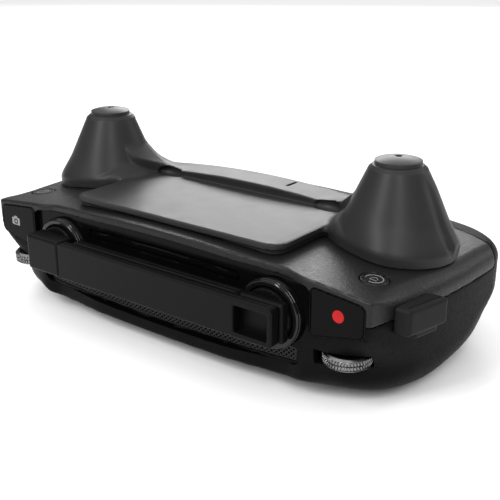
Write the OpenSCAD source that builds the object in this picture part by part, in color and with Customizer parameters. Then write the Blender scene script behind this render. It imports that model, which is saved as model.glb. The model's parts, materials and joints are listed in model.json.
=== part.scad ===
// Folding radio transmitter controller with a clip-on stick guard.
// X runs along the width, -Y is the aerial side, +Z is up through the sticks.
// The origin is on the flat underside, below the middle of the face.

/* [Case] */
// Width of the case at its widest
case_w = 145; // [140:1:150]
// Front face, the aerial side, along Y
front_y = -35; // [-36:0.5:-34.5]
// Back edge, the user's side, along Y
back_y = 38; // [37.5:0.5:40]
// Height of the top face above the underside
case_h = 35; // [34.5:0.5:36]
// Wall thickness of the shells
wall = 2; // [1.6:0.1:2.2]
// Height of the parting line between the shells
split_z = 24.5; // [24:0.5:25]

/* [Stick guard] */
// Distance of each stick from the middle
stick_x = 51.8; // [51:0.1:52.5]
// Height of a cone above the top face
cone_h = 21; // [20:0.5:24]
// Radius of a cone at its rim
cone_rim_r = 7.6; // [7.3:0.1:7.9]
// Radius of the flange round each cone
flange_r = 16; // [15.5:0.5:16.5]
// Wall thickness of the cones
cone_wall = 1.4; // [1.2:0.1:1.6]

/* [Aerials] */
// Distance of each aerial hinge from the middle
aerial_x = 38; // [37:0.5:39]
// Height of the aerial hinges
aerial_z = 21.2; // [21:0.1:21.5]
// Height of an aerial blade
blade_h = 10.5; // [9:0.5:11]
// Thickness of an aerial blade
blade_t = 3; // [2.6:0.1:3.1]

/* [Controls] */
// Radius of the knurled dials
dial_r = 6.2; // [5.8:0.1:6.3]
// Thickness of the dials
dial_t = 3.5; // [3:0.1:3.8]
// Radius of the two round top buttons
top_button_r = 3.5; // [3:0.1:3.6]
// Height of the stick tops
stick_top_z = 44; // [42:0.5:44]

/* [Phone clamps] */
// Distance of each clamp pivot from the middle
clamp_x = 57.5; // [56:0.5:58]
// Place of the clamp pivots along Y
clamp_y = 23.5; // [23:0.5:24]
// Radius of a clamp arm's round end
clamp_r = 13.5; // [12.5:0.5:14]
// Height of the clamp arms above the underside
clamp_h = 19; // [16:0.5:19]

/* [Hidden] */
$fn = 64;
e = 0.01; // overshoot of a cut past a face
gap = 0.3; // running gap round a moving piece
run = 0.05; // radial clearance of a turning fit

crown_r = 571; // radius of the top face across the width
side_r = 203; // radius of the bulging ends, in plan
side_y = 16.2; // where the ends are widest
corner_r = 20.6; // radius of the back corners, in plan
floor_y = -2; // where the front of the underside starts to rise
floor_r = 104; // radius of that rise
heel_y = 10.5; // where the back of the underside starts to rise
heel_h = 19; // height of that rise
brow_y = 12; // where the top face starts to fall to the back
brow_r = 70; // radius of that fall
edge_r = 4; // rounding of the long top edges at the ends

stick_y = 0.5;
pivot_z = 26.5; // height of the stick pivots
well_r = 12; // opening round a stick
dome_r = 10; // dust dome on a stick
knob_r = 4;
post_r = 1.5; // top of a stick's post, in its knob
post_in = 2; // depth of the post in the knob
axle_r = 1.2; // axles of a yoke and a stick
yoke = [9.5, 7, 1.5]; // half sizes of a yoke
yoke_hole = [6.5, 4.6]; // half sizes of the opening in a yoke
tray = 13.5; // half width of the tray of a gimbal
tray_wall = 2;

cone_slope = 0.46; // growth of a cone's radius for each mm down
rim_h = cone_h - 2.5; // height of the rim above the top face
flange_h = rim_h - (flange_r - cone_rim_r) / cone_slope; // where the flange meets the cone
vent_r = 0.85; // hole in the cap of a cone
plate_half = [[36.2, -30.5], [36.2, -14], [39.5, -11.7], [42, -11.7], [42, 13], [33, 15.5]];
plate_h = 2; // height of the guard's plate above the top face
bar = [33, 3.8, 15.5, 5]; // half width, y from, y to and height of the raised bar between the cones

shoulder = [51, 64.6, 20, 30.4]; // x from, x to, z from, z to of a shoulder button
recess_top = case_h - 3.2;
recess_z = 7.4; // bottom of the front recess
dial_pos = [57.4, -29.6, 13.65];
top_button = [59.8, -22.7];
face_button = [29, -18];
under_button = [46, -12];
screw_spots = [[47, -25], [-47, -25], [34.5, 16], [-34.5, 16]];
dial_axle_r = 1;
face_button_r = 3;
screw_r = 1.2;
boss_r = 3.2;
head_r = 2.4; // head of a case screw
display = [22.8, -23.8, -2.2]; // half width, y from and y to of the display window
lens_z = 32.4; // underside of that window
port = [68.2, -20.5, 24.9]; // middle of the data port's mouth
port_half = [4, 1.6]; // half sizes of the port's shell, in Y and Z
port_wall = 0.4;
tongue_half = [3.4, 1]; // half sizes of the port cover's tongue
cover = [[66, -27.3], [72, -27.3], [75.2, -13.8], [66, -13.8]]; // plan of the port cover's block
cover_z = [21.5, 28.3]; // height of that block, from and to
switch_pos = [-12, 26.8]; // middle of the mode switch, in Y and Z
switch_half = [2.2, 1.3]; // half sizes of its slider
switch_travel = 2.8;
beam_tip = 1.5; // distance of a folded clamp arm's tip from the middle
slot_z = [7.5, 15.5]; // phone slot in a clamp arm, from and to
slot_d = 5.5; // depth of that slot
pad_t = 1; // rubber lining of that slot
clamp_pin_r = 2.5;
clamp_head_r = 4;
blade_y = front_y - 7.4; // front face of the front aerial
blade_gap = 0.4;
mid_y = blade_y + blade_t + blade_gap; // front face of the rear aerial
knuckle_w = 13.2;
ring_r = 9.2;
hub_r = 7;

// Height of the crowned top face at x
function crown(x) = case_h - crown_r + sqrt(crown_r * crown_r - x * x);
// Height of the underside at y
function floor_z(y) = y < floor_y ? floor_r - sqrt(floor_r * floor_r - pow(y - floor_y, 2)) : 0;
// Points of an arc from angle a to angle b
function arc(c, r, a, b, n) = [for (i = [0:n]) let (t = a + (b - a) * i / n) c + r * [cos(t), sin(t)]];
function flip(points) = [for (i = [len(points) - 1:-1:0]) [-points[i][0], points[i][1]]];
// Outline of the right half of the case in plan, set in by d
function plan_half(d) =
    let (low = asin((front_y + d - side_y) / (side_r - d)))
    concat(arc([case_w / 2 - side_r, side_y], side_r - d, low, 0, 12),
        arc([case_w / 2 - corner_r, back_y - corner_r], corner_r - d, 4, 90, 14));
// Side view of the case in Y and Z, set in by d
function side_view(d) =
    let (n = 14, fall = asin((back_y - brow_y) / brow_r))
    concat([[front_y + d, case_h - d]],
        [for (i = [0:n]) let (y = front_y + d + (floor_y - front_y) * i / n) [y, floor_z(y) + d]],
        [for (i = [0:n]) let (t = 90 * i / n)
            [heel_y + (back_y - d - heel_y) * sin(t), heel_h - (heel_h - d) * cos(t)]],
        [for (i = [0:n]) let (t = fall * (1 - i / n))
            [min(brow_y + brow_r * sin(t), back_y - d), case_h - d - brow_r * (1 - cos(t))]]);
// Front view of the case in X and Z: flat floor, rounded top edges
function front_half(d) =
    let (x = case_w / 2 - d, z = crown(case_w / 2 - edge_r) - d)
    concat([[0, d]], [[x - 3, d]], [[x, d + 8]], arc([x - edge_r, z - edge_r], edge_r, 0, 88, 8),
        [for (i = [8:-1:0]) let (u = (x - edge_r) * i / 8) [u, crown(u) - d]]);

// Solid body of the case, set in by d on every side
module case_form(d = 0) {
    intersection() {
        linear_extrude(case_h + 5) polygon(concat(plan_half(d), flip(plan_half(d))));
        rotate([90, 0, 90]) translate([0, 0, -case_w / 2 - 5])
            linear_extrude(case_w + 10) polygon(side_view(d));
        rotate([90, 0, 0]) translate([0, 0, -back_y - 5])
            linear_extrude(back_y - front_y + 10) polygon(concat(front_half(d), flip(front_half(d))));
    }
}

// A block given by its low and high corners
module block(low, high) translate(low) cube(high - low);

// Everything above height z
module above(z) block([-100, -100, z], [100, 100, 100]);

// A cylinder along Y from y0 to y1 at x, z
module rod_y(x, z, y0, y1, r) translate([x, y1, z]) rotate([90, 0, 0]) cylinder(h = y1 - y0, r = r);

// A cylinder along X from x0 to x1 at y, z
module rod_x(y, z, x0, x1, r) translate([x0, y, z]) rotate([0, 90, 0]) cylinder(h = x1 - x0, r = r);

// A piece and its mirror image on the other end
module both() {
    children();
    mirror([1, 0, 0]) children();
}

// A piece on the right end (side 1) or its mirror image on the left end (side -1)
module on(side) mirror([side < 0 ? 1 : 0, 0, 0]) children();

// Space that the folded clamp arms take, grown by d
module clamp_space(d) {
    both() translate([clamp_x, clamp_y, -e]) cylinder(h = clamp_h + d + e, r = clamp_r + d);
    block([-clamp_x, clamp_y - d, -e], [clamp_x, 50, clamp_h + d]);
}

// Outline of the front recess in X and Z, grown by d
module recess_shape(d) {
    half = [[49.3 + d, recess_top + d], [49.3 + d, 18.8], [46.6 + d, 11], [46.4 + d, recess_z - d]];
    polygon(concat(half, flip(half)));
}

module recess_cut(y0, y1, d) translate([0, y1, 0]) rotate([90, 0, 0]) linear_extrude(y1 - y0) recess_shape(d);

// Openings of one end that cross both shells
module end_openings() {
    block([shoulder[0] - gap, -50, shoulder[2] - gap], [shoulder[1] + gap, front_y + 6, shoulder[3] + gap]);
}

module dial_opening() {
    translate([dial_pos[0], dial_pos[1], dial_pos[2] - dial_t / 2 - gap]) {
        cylinder(h = dial_t + 2 * gap, r = dial_r + gap);
        translate([-dial_r, -12, 0]) cube([2 * dial_r, 12, dial_t + 2 * gap]);
    }
}

module port_opening()
    block([55, port[1] - port_half[0] - gap, port[2] - port_half[1] - 0.2],
        [90, port[1] + port_half[0] + gap, port[2] + port_half[1] + 0.2]);

module upper_shell() {
    color("#2b2b2c") difference() {
        intersection() {
            case_form();
            above(split_z);
        }
        difference() {
            case_form(wall);
            for (s = screw_spots) translate([s[0], s[1], split_z - e]) cylinder(h = 20, r = boss_r);
        }
        for (s = screw_spots) translate([s[0], s[1], split_z - e]) cylinder(h = 5.5, r = screw_r);
        recess_cut(-50, front_y + 3.6, 0.15);
        both() end_openings();
        port_opening();
        both() translate([stick_x, stick_y, 27]) cylinder(h = 20, r = well_r);
        both() translate([top_button[0], top_button[1], 27]) cylinder(h = 20, r = top_button_r + gap);
        both() translate([face_button[0], face_button[1], 30]) cylinder(h = 20, r = face_button_r + gap);
        block([-display[0] - 0.2, display[1] - 0.2, 30], [display[0] + 0.2, display[2] + 0.2, 50]);
        block([-90, switch_pos[0] - switch_half[0] - switch_travel, switch_pos[1] - switch_half[1] - gap],
            [-60, switch_pos[0] + switch_half[0] + switch_travel, switch_pos[1] + switch_half[1] + gap]);
    }
}

module lower_shell() {
    color("#232324") difference() {
        case_form();
        above(split_z);
        clamp_space(gap);
        difference() {
            case_form(wall);
            clamp_space(gap + wall);
            for (s = screw_spots) translate([s[0], s[1], 0]) cylinder(h = 40, r = boss_r);
            both() translate([clamp_x, clamp_y, clamp_h]) cylinder(h = 5.4, r = 5);
            both() translate([dial_pos[0], dial_pos[1], 0])
                cylinder(h = dial_pos[2] - dial_t / 2 - gap, r = 2.5);
        }
        both() translate([clamp_x, clamp_y, clamp_h - 2]) cylinder(h = 7.4, r = clamp_pin_r);
        both() translate([dial_pos[0], dial_pos[1], 8]) cylinder(h = 10, r = dial_axle_r);
        recess_cut(-50, front_y + 3.6, 0.15);
        both() end_openings();
        both() dial_opening();
        port_opening();
        for (s = screw_spots) translate([s[0], s[1], floor_z(s[1])]) {
            translate([0, 0, -5]) cylinder(h = 7.4, r = head_r + gap);
            cylinder(h = 40, r = screw_r + 0.2);
        }
        both() translate([under_button[0], under_button[1], -e]) cylinder(h = 8, r = face_button_r + gap);
    }
}

// Gloss panel at the bottom of the front recess, with the seats of the hinge rings and pins
module front_bezel() {
    y0 = front_y + 1.4;
    color("#121213") difference() {
        union() {
            recess_cut(y0, y0 + 1.5, 0);
            both() rod_y(aerial_x, aerial_z, y0 + 1, y0 + 6.5, 4.5);
            recess_cut(y0 + 1.5, front_y + 3.5, -0.2);
        }
        both() rod_y(aerial_x, aerial_z, -50, y0 + 1, ring_r + 0.05);
        both() rod_y(aerial_x, aerial_z, -50, 0, 2);
        both() rod_y(aerial_x, aerial_z, y0 + 0.8, y0 + 1.2, hub_r + gap);
        translate([0, y0 + 0.7, 28.6]) rotate([90, 0, 0]) linear_extrude(5) square([52, 2.6], center = true);
        block([-44, y0 - 1, recess_z + 1.2], [44, y0 + 0.8, recess_z + 4.8]);
    }
}

// Perforated strip over the loudspeaker, at the foot of the recess
module front_grille() {
    pitch = 3.4;
    y0 = front_y + 1.1;
    color("#1c1c1d") difference() {
        block([-43.9, y0, recess_z + 1.3], [43.9, y0 + 1.1, recess_z + 4.5]);
        for (i = [-12:12]) rod_y(i * pitch, recess_z + 3, y0 - 1, y0 + 2, 1);
    }
}

module hinge_ring(side) {
    color("#3a3a3d") on(side) difference() {
        rod_y(aerial_x, aerial_z, mid_y + blade_t + 0.25, front_y + 2.3, ring_r);
        rod_y(aerial_x, aerial_z, -60, 0, hub_r + gap);
    }
}

module hinge_pin(side, y0) color("silver") on(side) rod_y(aerial_x, aerial_z, y0, front_y + 7.5, 2);

// Hinge block of an aerial, from y0 back to the body, with its round hub
module aerial_knuckle(side, y0) {
    color("#262627") on(side) difference() {
        union() {
            block([aerial_x - knuckle_w / 2, y0, aerial_z - blade_h / 2],
                [aerial_x + knuckle_w / 2, mid_y + blade_t, aerial_z + blade_h / 2]);
            rod_y(aerial_x, aerial_z, mid_y + blade_t - e, front_y + 2, hub_r);
        }
        rod_y(aerial_x, aerial_z, y0 + 1.4, 0, 2 + run);
    }
}

module front_aerial_blade() {
    inner = aerial_x - knuckle_w / 2;
    color("#29292a") difference() {
        block([-inner, blade_y, aerial_z - blade_h / 2], [44, blade_y + blade_t, aerial_z + blade_h / 2]);
        block([32.4, blade_y - 1, aerial_z - 3.9], [42.4, blade_y + blade_t + 1, aerial_z + 3.3]);
    }
}

module rear_aerial_blade() {
    inner = aerial_x - knuckle_w / 2;
    color("#29292a")
        block([-29, mid_y, aerial_z - blade_h / 2], [inner, mid_y + blade_t, aerial_z + blade_h / 2]);
}

module shoulder_button(side) {
    color("#151516") on(side) union() {
        block([shoulder[0], front_y - 0.4, shoulder[2]], [shoulder[1], front_y + 1.6, shoulder[3]]);
        rod_y((shoulder[0] + shoulder[1]) / 2, 25.2, front_y + 1.5, front_y + 3.3, 1.5);
    }
}

module dial(side) {
    teeth = 36;
    color("#55565a") on(side) translate([dial_pos[0], dial_pos[1], dial_pos[2] - dial_t / 2]) difference() {
        cylinder(h = dial_t, r = dial_r);
        translate([0, 0, -1]) cylinder(h = dial_t + 2, r = dial_axle_r + run);
        for (i = [0:teeth - 1]) rotate(i * 360 / teeth) translate([dial_r, 0, -1]) rotate(45)
            cube([0.5, 0.5, 2 * dial_t + 4], center = true);
    }
}

module dial_axle(side) {
    color("silver") on(side) translate([dial_pos[0], dial_pos[1], 8])
        cylinder(h = 11, r = dial_axle_r);
}

module top_control(side) {
    z = crown(top_button[0]);
    color("#1d1d1e") on(side) translate([top_button[0], top_button[1], z - 2.6])
        cylinder(h = 2.7, r = top_button_r);
}

module face_control(side) {
    z = crown(face_button[0] + face_button_r);
    color("#2a2a2b") on(side) translate([face_button[0], face_button[1], z - 3])
        cylinder(h = 2.9, r = face_button_r);
}

module under_control(side) {
    color("#2a2a2b") on(side) translate([under_button[0], under_button[1], 0.8])
        cylinder(h = 3.4, r = face_button_r);
}

module mode_switch() {
    color("#3a3a3b") union() {
        block([-71.6, switch_pos[0] - switch_half[0], switch_pos[1] - switch_half[1]],
            [-66.8, switch_pos[0] + switch_half[0], switch_pos[1] + switch_half[1]]);
        block([-66.8, switch_pos[0] - 3, switch_pos[1] - 2], [-65.8, switch_pos[0] + 3, switch_pos[1] + 2]);
    }
}

module display_lens() color("#0c0d0f") block([-display[0], display[1], lens_z], [display[0], display[2], 34]);

module display_module() {
    rim = 1.2;
    color("#1d3a2c") block([-display[0] - rim, display[1] - rim, lens_z - 2.7],
        [display[0] + rim, display[2] + rim, lens_z]);
}

module main_board() color("#1f5a35") block([-34, -20, 15.5], [34, 11, 17]);

module battery_pack() color("#3d4a66") both() block([0.4, -18, 4], [31.2, 12, 13]);

module speaker() color("#444444") translate([-12, -24, 5.6]) cylinder(h = 3.6, r = 3.8);

module usb_port() {
    color("silver") difference() {
        block(port - [6, port_half[0], port_half[1]], port + [0, port_half[0], port_half[1]]);
        block(port - [4.6, port_half[0] - port_wall, port_half[1] - port_wall],
            port + [1, port_half[0] - port_wall, port_half[1] - port_wall]);
    }
}

// Small push switches behind the buttons
module push_switches() {
    half = 2; // half width of a switch
    color("#8a8a8c") both() {
        block([56, front_y + 4.4, 23.5], [59.6, front_y + 6.4, 26.9]);
        for (s = [[top_button, 25.5, 28.2], [face_button, 27, 30.4], [under_button, 5.2, 7.6]])
            block([s[0][0] - half, s[0][1] - half, s[1]], [s[0][0] + half, s[0][1] + half, s[2]]);
    }
}

module case_screws() {
    color("#77777a") for (s = screw_spots) translate([s[0], s[1], floor_z(s[1]) + 1]) difference() {
        union() {
            cylinder(h = 1.4, r = head_r);
            cylinder(h = 28 - floor_z(s[1]), r = screw_r);
        }
        translate([0, 0, -1]) cylinder(h = 1.8, r = 1, $fn = 6);
    }
}

// Tray that carries one stick
module gimbal_housing(side) {
    inner = tray - tray_wall;
    base = clamp_h + gap + wall + 0.5;
    color("#3c3c3e") on(side) translate([stick_x, stick_y, 0]) difference() {
        block([-tray, -tray, base], [tray, tray, 28.8]);
        block([-inner, -inner, base + 1.2], [inner, inner, 40]);
        rod_x(0, pivot_z, -tray - 1, tray + 1, axle_r + run);
    }
}

module gimbal_yoke(side) {
    color("#8d8d90") on(side) translate([stick_x, stick_y, pivot_z]) difference() {
        union() {
            block(-yoke, yoke);
            rod_x(0, 0, gap - tray, tray - gap, axle_r);
        }
        block([-yoke_hole[0], -yoke_hole[1], -2], [yoke_hole[0], yoke_hole[1], 2]);
        rod_y(0, 0, -8, 8, axle_r + run);
    }
}

// Stick post with its dust dome, turning in the yoke
module stick_post(side) {
    color("#1e1e1f") on(side) translate([stick_x, stick_y, pivot_z]) union() {
        block([-3.2, -4.2, -1.5], [3.2, 4.2, 2]);
        rod_y(0, 0, -6.9, 6.9, axle_r);
        cylinder(h = dome_r - 0.7, r = 2);
        cylinder(h = dome_r + post_in, r = post_r);
        difference() {
            intersection() {
                sphere(r = dome_r);
                translate([0, 0, 4]) cylinder(h = dome_r, r = dome_r + 1);
            }
            sphere(r = dome_r - 1);
        }
    }
}

module stick_knob(side) {
    base = pivot_z + dome_r;
    h = stick_top_z - base;
    color("#9a9a9e") on(side) translate([stick_x, stick_y, base]) difference() {
        rotate_extrude() polygon([[0, 0], [2.6, 0], [2.3, h * 0.45], [knob_r - 0.6, h - 2.6],
            [knob_r, h - 1.8], [knob_r, h - 0.5], [knob_r - 0.5, h], [0, h - 0.4]]);
        translate([0, 0, -1]) cylinder(h = post_in + 1, r = post_r);
    }
}

// Centring springs round the yoke's stub axles
module gimbal_springs(side) {
    color("#a8a8ac") on(side) translate([stick_x, stick_y, pivot_z]) both() difference() {
        rod_x(0, 0, dome_r + gap, tray - tray_wall - 0.2, 2.6);
        rod_x(0, 0, dome_r, tray, 1.6);
    }
}

// Half section of a cone and its flange, with the cap on top, above the top face
module cone_section() {
    cap_r = cone_rim_r - 1.5;
    polygon([[0, -7], [flange_r, -7], [flange_r, flange_h], [cone_rim_r, rim_h],
        [cone_rim_r - 0.5, rim_h + 0.5], [cap_r + 0.6, rim_h + 0.2], [cap_r, cone_h - 1],
        [vent_r + 0.5, cone_h], [0, cone_h]]);
}

// Half section of the hollow inside a cone
module cone_hollow() {
    low = 0.6;
    high = rim_h - 1;
    polygon([[0, low], [min(flange_r, cone_rim_r + cone_slope * (rim_h - low)) - cone_wall, low],
        [cone_rim_r + cone_slope - cone_wall, high], [0, high]]);
}

module stick_guard() {
    color("#333334") difference() {
        union() {
            translate([0, 0, 30]) linear_extrude(case_h + plate_h - 30)
                polygon(concat(plate_half, flip(plate_half)));
            block([-bar[0], bar[1], 30], [bar[0], bar[2], case_h + bar[3]]);
            both() translate([stick_x, stick_y, case_h]) rotate_extrude() cone_section();
        }
        difference() {
            translate([0, 100, case_h - crown_r]) rotate([90, 0, 0])
                cylinder(h = 200, r = crown_r + gap, $fn = 720);
            both() translate([stick_x, stick_y, 31]) cylinder(h = 10, r = well_r - gap);
        }
        both() translate([stick_x, stick_y, 0]) {
            translate([0, 0, case_h]) rotate_extrude() cone_hollow();
            cylinder(h = case_h + 1, r = dome_r + 0.5);
            cylinder(h = case_h + cone_h + 5, r = vent_r);
        }
    }
}

module port_cover() {
    color("#2e2e2f") union() {
        difference() {
            translate([0, 0, cover_z[0]]) linear_extrude(cover_z[1] - cover_z[0]) polygon(cover);
            case_form(-gap);
        }
        block([port[0] - 4.2, port[1] - tongue_half[0], port[2] - tongue_half[1]],
            [port[0] + 2.8, port[1] + tongue_half[0], port[2] + tongue_half[1]]);
    }
}

module clamp_pin(side) {
    color("silver") on(side) translate([clamp_x, clamp_y, 0]) {
        translate([0, 0, 5.8]) cylinder(h = 2, r = clamp_head_r);
        translate([0, 0, 5.8]) cylinder(h = 18, r = clamp_pin_r);
    }
}

// Space of the phone slot along a clamp arm, with its lining if d is 0
module phone_slot(d) {
    block([beam_tip + 4, clamp_y - 5, slot_z[0] + d],
        [clamp_x - clamp_r - 4, clamp_y + 0.4 + slot_d - d, slot_z[1] - d]);
}

module clamp_arm(side) {
    color("#252526") on(side) difference() {
        intersection() {
            case_form();
            union() {
                translate([clamp_x, clamp_y, 0]) cylinder(h = clamp_h, r = clamp_r);
                block([beam_tip, clamp_y + 0.4, 0], [clamp_x, clamp_y + clamp_r, clamp_h]);
            }
        }
        phone_slot(0);
        translate([clamp_x, clamp_y, -1]) cylinder(h = clamp_h + 5, r = clamp_pin_r + run);
        translate([clamp_x, clamp_y, -1]) cylinder(h = 9, r = clamp_head_r + gap);
    }
}

module clamp_pad(side) {
    color("#3b3b3c") on(side) difference() {
        intersection() {
            phone_slot(0);
            block([0, clamp_y + 0.6, 0], [clamp_x, 60, 30]);
        }
        phone_slot(pad_t);
    }
}

upper_shell();
lower_shell();
front_bezel();
front_grille();
hinge_ring(-1);  // left_hinge_ring
hinge_ring(1);  // right_hinge_ring
hinge_pin(-1, blade_y + 1.6);  // left_hinge_pin
hinge_pin(1, mid_y + 1.6);  // right_hinge_pin
aerial_knuckle(-1, blade_y);  // front_aerial_knuckle
front_aerial_blade();
aerial_knuckle(1, mid_y);  // rear_aerial_knuckle
rear_aerial_blade();
shoulder_button(1);  // record_button
shoulder_button(-1);  // shutter_button
dial(1);  // gimbal_dial
dial(-1);  // settings_dial
dial_axle(1);  // gimbal_dial_axle
dial_axle(-1);  // settings_dial_axle
top_control(1);  // home_button
top_control(-1);  // power_button
face_control(1);  // pause_button
face_control(-1);  // five_way_button
under_control(1);  // right_under_button
under_control(-1);  // left_under_button
mode_switch();
display_lens();
display_module();
main_board();
battery_pack();
speaker();
usb_port();
push_switches();
case_screws();
gimbal_housing(-1);  // left_gimbal_housing
gimbal_housing(1);  // right_gimbal_housing
gimbal_yoke(-1);  // left_gimbal_yoke
gimbal_yoke(1);  // right_gimbal_yoke
stick_post(-1);  // left_stick_post
stick_post(1);  // right_stick_post
stick_knob(-1);  // left_stick_knob
stick_knob(1);  // right_stick_knob
gimbal_springs(-1);  // left_gimbal_springs
gimbal_springs(1);  // right_gimbal_springs
stick_guard();
port_cover();
clamp_arm(-1);  // left_clamp_arm
clamp_arm(1);  // right_clamp_arm
clamp_pad(-1);  // left_clamp_pad
clamp_pad(1);  // right_clamp_pad
clamp_pin(-1);  // left_clamp_pin
clamp_pin(1);  // right_clamp_pin
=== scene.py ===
"""Looks of a folding radio transmitter controller with a clip-on stick guard.

Every moulded piece is described by a signed distance field in millimetres and meshed by
dual contouring, so that its fillets, seams and creases are real geometry. Turned pieces
are lathed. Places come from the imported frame.
"""
import json
import math

import bpy
import numpy as np
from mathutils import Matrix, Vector


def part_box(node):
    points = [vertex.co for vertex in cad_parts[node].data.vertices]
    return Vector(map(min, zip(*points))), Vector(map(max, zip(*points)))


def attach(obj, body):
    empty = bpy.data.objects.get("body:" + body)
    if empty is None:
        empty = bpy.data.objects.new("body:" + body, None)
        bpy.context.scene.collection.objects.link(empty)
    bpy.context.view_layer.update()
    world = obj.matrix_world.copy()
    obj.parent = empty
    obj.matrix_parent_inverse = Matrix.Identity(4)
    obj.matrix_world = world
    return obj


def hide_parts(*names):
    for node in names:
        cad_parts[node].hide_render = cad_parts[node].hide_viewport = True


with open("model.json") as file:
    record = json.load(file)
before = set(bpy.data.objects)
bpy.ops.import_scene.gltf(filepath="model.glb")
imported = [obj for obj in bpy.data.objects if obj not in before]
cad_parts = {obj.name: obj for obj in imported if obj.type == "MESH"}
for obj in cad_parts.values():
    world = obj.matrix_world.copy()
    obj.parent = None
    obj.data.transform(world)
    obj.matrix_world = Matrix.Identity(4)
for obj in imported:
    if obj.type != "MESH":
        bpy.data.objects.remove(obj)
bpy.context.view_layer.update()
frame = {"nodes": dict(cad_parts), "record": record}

MM = 0.001
FINE = 1.0
ENDS = ((1, "right"), (-1, "left"))
CELL = {  # mesh cell of each moulded piece, in millimetres
    "upper_case": 0.43, "lower_case": 0.68, "bezel": 0.38, "grille": 0.17, "shoulder": 0.2,
    "camera_icon": 0.09, "dial": 0.14, "top_button": 0.14, "home_button_icon": 0.1,
    "power_button_icon": 0.1, "front_blade": 0.3, "rear_blade": 0.3, "knuckle": 0.3,
    "guard": 0.47, "clamp_arm": 0.5, "clamp_lining": 0.3, "port_plug": 0.28,
    "mode_slider": 0.2, "display_window": 0.4,
}


# -------------------- places from the frame
def node_box(name):
    """Lowest and highest corner of a CAD node, in millimetres."""
    low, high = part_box(name)
    return np.array(low) / MM, np.array(high) / MM


def middle_of(box):
    """Middle of a node's box."""
    return (box[0] + box[1]) / 2


def joint_place(name):
    """Place of a hinge, in millimetres."""
    found = next(j for j in frame["record"]["behaviour"]["joints"] if j["name"] == name)
    return np.array(found["pos_m"]) / MM


UPPER, LOWER = node_box("upper_shell"), node_box("lower_shell")
HALF_W = UPPER[1][0]
FRONT, BACK = LOWER[0][1], UPPER[1][1]
CASE_H = UPPER[1][2]
SPLIT = LOWER[1][2]
STICK = joint_place("right_stick_roll")
AERIAL = joint_place("rear_aerial_fold")
DIAL = node_box("gimbal_dial")
HOME = node_box("home_button")
CLAMP = joint_place("right_clamp_swing")
CLAMP_TOP = node_box("right_clamp_arm")[1][2]
PORT = node_box("port_cover")
SWITCH = node_box("mode_switch")
PANEL = node_box("record_button")
GUARD = node_box("stick_guard")
FRONT_BLADE, REAR_BLADE = node_box("front_aerial_blade"), node_box("rear_aerial_blade")
KNUCKLE = node_box("rear_aerial_knuckle")
RING = node_box("right_hinge_ring")
LENS = node_box("display_lens")
PAUSE = node_box("pause_button")
UNDER = node_box("right_under_button")
KNOB = node_box("right_stick_knob")

# Form of the case, in millimetres: as in the CAD model, but with a flatter brow
CROWN_R = 571.0  # top face, across the width
SIDE_R, SIDE_Y = 203.0, 16.2  # bulging ends, in plan
CORNER_R = 20.6  # back corners, in plan
FLOOR_Y, FLOOR_R = -2.0, 104.0  # where the front of the underside rises
HEEL_Y, HEEL_H = 10.5, 19.0  # where the back of the underside rises
BROW_Y, BROW_R = 12.0, 91.0  # where the top face falls to the back
SILL_X = 67.0  # where the rise of the front's lower edges is stated
WALL = 1.9
SEAM_GAP = 0.14  # from the parting surface to each shell
TRIM = 0.6  # width of the gloss surround of a shoulder button
RECESS_X = 49.3
RECESS_DEPTH = 3.6
WELL_R = 12.0
SCREWS = ((47, -25), (34.5, 16))
HINGE_HOLE_R = 2.05
CLAMP_HUB_R = 13.5
CLAMP_GAP = 0.3
BUTTON_HOLE_R = 3.3  # of the small buttons, on the face and below

# Form of the guard: heights are above the middle of the top face
CONE_H = GUARD[1][2] - CASE_H
RIM_H = CONE_H - 2.5
RIM_R = 7.35
CONE_GROW = 0.46  # how much the radius grows per millimetre down the cone
CONE_TILT = math.hypot(1, CONE_GROW)
CONE_X = STICK[0] + 0.2
FLANGE_R = 15.3
FLANGE_TOP = 2.0
PLATE_X, PLATE_Y = 36.8, (-30.5, 16)
BAR_X, BAR_Y, BAR_TOP = 43, (-6, 15.2), 4.6


# -------------------- distance fields
def smooth_step(low, high, value):
    """0 up to low, 1 from high on. The limits may be given the other way round."""
    t = np.clip((value - low) / (high - low), 0, 1)
    return t * t * (3 - 2 * t)


def both_of(a, b, r):
    """Intersection of two fields, its edge rounded to radius r."""
    return np.minimum(np.maximum(a, b), -r) + np.hypot(np.maximum(a + r, 0), np.maximum(b + r, 0))


def either_of(a, b, r):
    """Union of two fields, its inner corner filled to radius r."""
    return -both_of(-a, -b, r)


def soft_union(a, b, k):
    """Union of two fields that blend over a width k, as moulded clay does."""
    h = np.clip(0.5 + 0.5 * (b - a) / k, 0, 1)
    return b * (1 - h) + a * h - k * h * (1 - h)


def span(value, low, high):
    """Negative between two limits."""
    return np.maximum(low - value, value - high)


def rounded_box(x, y, z, low, high, r):
    middle, half = np.add(low, high) / 2, np.subtract(high, low) / 2 - r
    q = [np.abs(v - middle[i]) - half[i] for i, v in enumerate((x, y, z))]
    outer = np.sqrt(sum(np.maximum(v, 0) ** 2 for v in q))
    return outer + np.minimum(np.maximum(np.maximum(q[0], q[1]), q[2]), 0) - r


def crown(x):
    """Height of the crowned face at x."""
    return CASE_H - x * x / (2 * CROWN_R)


def front_sill(x):
    """Height of the front lower edge at x: it rises towards the ends."""
    middle = FLOOR_R - math.sqrt(FLOOR_R**2 - (FRONT - FLOOR_Y) ** 2)
    return middle * (0.77 + 0.5 * (x / SILL_X) ** 2)


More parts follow.
